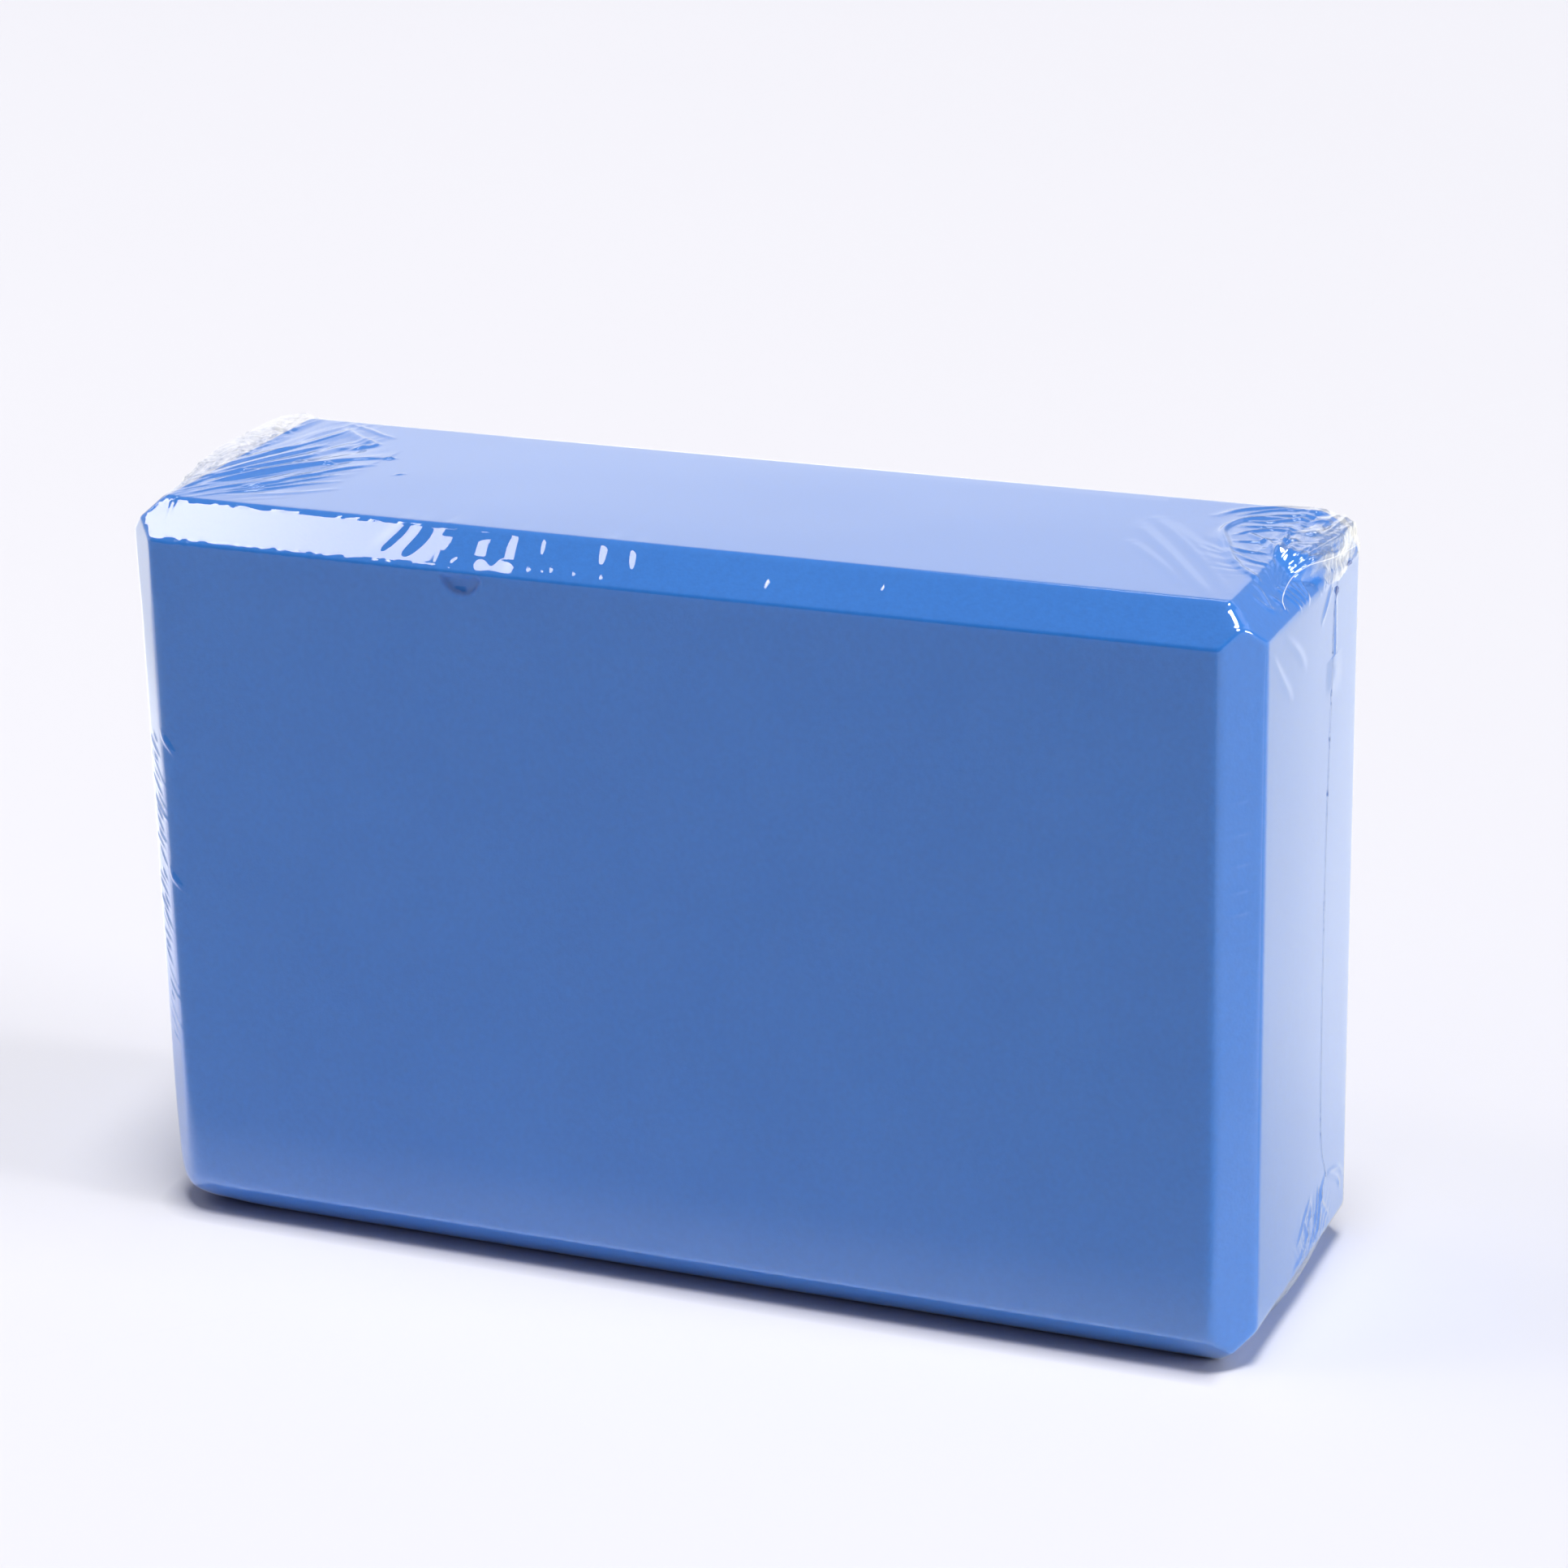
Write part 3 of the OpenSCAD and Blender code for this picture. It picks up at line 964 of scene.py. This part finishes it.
clear = add_node(tree, "ShaderNodeBsdfTransparent").outputs["BSDF"]
gloss = add_node(tree, "ShaderNodeBsdfGlossy", {"Roughness": 0.012}).outputs["BSDF"]
show(tree, add_node(tree, "ShaderNodeMixShader", {"Fac": share, 1: clear, 2: gloss}).outputs["Shader"])

# %% [markdown]
# The film is laid in panels that meet edge to edge, so that each can have the fineness it needs: a
# quarter of a millimetre at the puckers, and a few millimetres on the plain faces. One panel for the
# whole brick would need far more triangles.

# %% Film mesh
def film_piece(name, x_stretches, y_stretches, z_stretches, loose=None):
    """One panel of the film, over the part of the brick that the stretches cover.

    Stretches that stop short of the brick leave the panel open there, where the next one joins
    on. A loose layer gives its own extra lift and the outline that it is cut to.
    """
    lines = [graded_lines(*stretches) * scale
             for stretches, scale in zip((x_stretches, y_stretches, z_stretches), fit)]
    grid, faces = box_grid(*lines)
    middle = grid[faces].mean(axis=1)
    keep = np.ones(len(faces), bool)
    for axis, (line, reach) in enumerate(zip(lines, half_size)):
        for stop in (line[0], line[-1]):
            if abs(stop) < reach - 0.01:
                keep &= np.abs(middle[:, axis] - stop) > 0.01
    faces = faces[keep]
    points, outward = onto_brick(grid)
    lift = film_height(points, outward)
    if loose:
        more, inside = loose(points)
        lift += more
        faces = faces[inside[faces].all(axis=1)]
    points += outward * lift[:, None]
    used, renumber = np.unique(faces, return_inverse=True)
    piece = make_piece(name, points[used], renumber.reshape(faces.shape), film_finish)
    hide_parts("shrink_film")


fine_y = ((-37.5, -28, 0.4), (-28, 37.5, 0.35))
plain_y = ((-37.5, -29, 0.35), (-29, 29, 3), (29, 37.5, 0.8))
crown_z = ((52, 60, 0.6), (60, 75, 0.35))
film_piece("film_left_crown", ((-115, -92, 0.25),), fine_y, crown_z)
film_piece("film_left_fan", ((-92, -62, 0.3),), fine_y, crown_z)
film_piece("film_top_rail", ((-62, -4, 0.3), (-4, 78, 0.5)), plain_y, ((52, 60, 2), (60, 75, 0.35)))
film_piece("film_right_crown", ((78, 92, 0.4), (92, 115, 0.25)), fine_y, crown_z)
film_piece("film_left_side", ((-115, -100, 0.35),), plain_y, ((-50, -40, 1), (-40, 30, 0.25), (30, 52, 1)))
film_piece("film_left_foot", ((-115, -100, 0.5),), ((-37.5, 37.5, 0.5),), ((-75, -50, 0.5),))
film_piece("film_left_front", ((-100, -62, 0.8),), plain_y, ((-75, -66, 0.8), (-66, 52, 2)))
film_piece("film_middle", ((-62, -26, 3), (-26, -4, 0.3), (-4, 78, 4)), plain_y,
           ((-75, -66, 0.8), (-66, 26, 3), (26, 37, 0.3), (37, 52, 3)))
film_piece("film_right_side", ((78, 104, 3), (104, 115, 0.35)), plain_y, ((-50, 15, 2), (15, 52, 0.3)))
film_piece("film_right_foot", ((78, 100, 2), (100, 115, 0.35)), ((-37.5, 37.5, 0.4),), ((-75, -50, 0.35),))


# %% [markdown]
# Where the film is gathered most, it lies over itself two or three deep, and each layer adds its
# own reflection. That is why the tips of the puckers look white. A loose layer is cut to a ragged
# outline and stands a little off the film below it.

# %% Loose layers
def loose_layer(side, at, radius, rise, seed):
    """Lift and outline of a loose layer about a place on an unrolled end."""
    def shape(points):
        reach = np.linalg.norm((unrolled(points, side) - at) / radius, axis=1)
        reach *= 1 + 0.22 * waves(points, 4.0, seed)
        lift = rise * (1 - smooth_step(reach, 0.3, 1)) + 0.2 * crests(points, 1.5, seed + 1) + 0.1
        return lift, reach < 1
    return shape


crown_y = ((-30, 37.5, 0.35),)
layer_z = ((55, 75, 0.35),)
right_tip, left_tip = ((92, 115, 0.35),), ((-115, -92, 0.35),)
film_piece("film_right_loose_1", right_tip, crown_y, layer_z, loose_layer(1, (0, 15), (8, 15), 0.6, 41))
film_piece("film_right_loose_2", right_tip, crown_y, layer_z, loose_layer(1, (-1, 17), (6, 11), 1.0, 44))
film_piece("film_left_loose_1", left_tip, crown_y, layer_z, loose_layer(-1, (-2, 12), (8, 26), 0.6, 47))

# %% [markdown]
# ## Seam beads
#
# A hot wire cuts and welds the bag at each end. It leaves a thin lumpy bead of melted film, which
# wanders a little as the film shrinks. It is a tube whose thickness changes at random along its
# length.

# %% Seam and twist materials
def melted_film(name, dark, pale, roughness, alpha):
    """Film that has melted or twisted into a strand, uneven from one millimetre to the next."""
    finish, tree = new_material(name)
    tone = uneven(tree, 900.0, 2.0, dark, pale)
    melt = add_node(tree, "ShaderNodeBsdfPrincipled",
                    {"Base Color": tone, "Roughness": roughness, "Alpha": alpha})
    show(tree, melt.outputs["BSDF"])
    return finish


# The seam's blue-grey, dark to pale, is painted shade and dark reflection: it stands in for the small
# shadows and dark reflections that make the clear lumpy bead read as a dotted dark line.
seam_painted_shade_finish = melted_film("melted_seam_painted_shade", (0.1, 0.15, 0.38), (0.4, 0.48, 0.75), roughness=0.25, alpha=0.6)
twist_finish = melted_film("twisted_film", (0.8, 0.84, 0.95), (1.0, 1.0, 1.0), roughness=0.15, alpha=0.85)
print("finishes:", [finish.name for finish in (seam_painted_shade_finish, twist_finish)])


# %% [markdown]
# A bead and a twist are both tubes with an uneven thickness. A curve with a bevel would be even, so
# the rings are built point by point and each gets its own radius.

# %% Lumpy tubes
def lumpy_tube(name, route, thickness, lumpy, seed, finish, pressed=False):
    """A tube along a route on the end of the brick, whose thickness changes at random.

    A pressed one is flattened where it would reach into the end face.
    """
    curve = smooth_route(route, 40)
    lumps = waves(curve, 1.1, seed) * 0.6 + waves(curve, 0.5, seed + 1) * 0.4
    radius = thickness * (0.2 + lumpy(curve[:, 2]) * np.clip(lumps, 0, 1) ** 2)
    radius[[0, -1]] = thickness * 0.15
    sides = 8
    turn = np.linspace(0, 2 * np.pi, sides, endpoint=False)
    along = np.gradient(curve, axis=0)
    along /= np.linalg.norm(along, axis=1, keepdims=True)
    across = np.cross(along, (1.0, 0.0, 0.0))
    across /= np.linalg.norm(across, axis=1, keepdims=True)
    over = np.cross(along, across)
    ring = np.cos(turn)[None, :, None] * across[:, None] + np.sin(turn)[None, :, None] * over[:, None]
    points = (curve[:, None] + ring * radius[:, None, None]).reshape(-1, 3)
    if pressed:
        outward = np.sign(curve[0, 0])
        points[:, 0] = outward * np.maximum(outward * points[:, 0], END + LEAST_GAP)
    faces = []
    for step, side in product(range(len(curve) - 1), range(sides)):
        after = (side + 1) % sides
        faces.append((step * sides + side, (step + 1) * sides + side,
                      (step + 1) * sides + after, step * sides + after))
    make_piece(name, points, np.array(faces), finish)


def seam_lumps(height):
    """Few lumps low on the seam, more in its upper part, most where it crosses the bevel."""
    return 0.8 + 4.0 * smooth_step(height, 15, 35) + 4.0 * smooth_step(height, 58, 66)


seam_route = ((29, 68), (24, 67.5), (18, 67.5), (15, 66), (13.2, 61), (12.6, 56), (12.4, 50), (12.0, 40),
              (11.2, 28), (10.6, 14), (10.4, 0), (10.4, -14), (10.6, -28), (11.2, -42), (12.5, -49),
              (15, -54), (16, -56))
for name, outside, seed in (("right_seam_bead", END + 0.2, 21), ("left_seam_bead", -END - 0.2, 31)):
    lumpy_tube(name, [(outside, y, z) for y, z in seam_route], 0.11, seam_lumps, seed, seam_painted_shade_finish,
               pressed=True)

# %% [markdown]
# At the right pucker the last of the spare film is twisted into a thin strand. It starts on the
# bevel, curls up over the edge and runs back along it until it is lost among the folds.

# %% Twisted tail of the right pucker
tail_route = ((113.8, -15.6, 69.6), (112.9, -14.4, 71.0), (112.8, -11.8, 72.6), (113.2, -8, 73.8),
              (114.6, -3, 74.4), (116.0, 3, 73.8), (116.6, 9, 73.0), (116.7, 15, 72.2),
              (116.6, 21, 71.4), (116.2, 26, 70.6))
lumpy_tube("right_twisted_tail", tail_route, 0.28, lambda height: 1.2, 51, twist_finish)
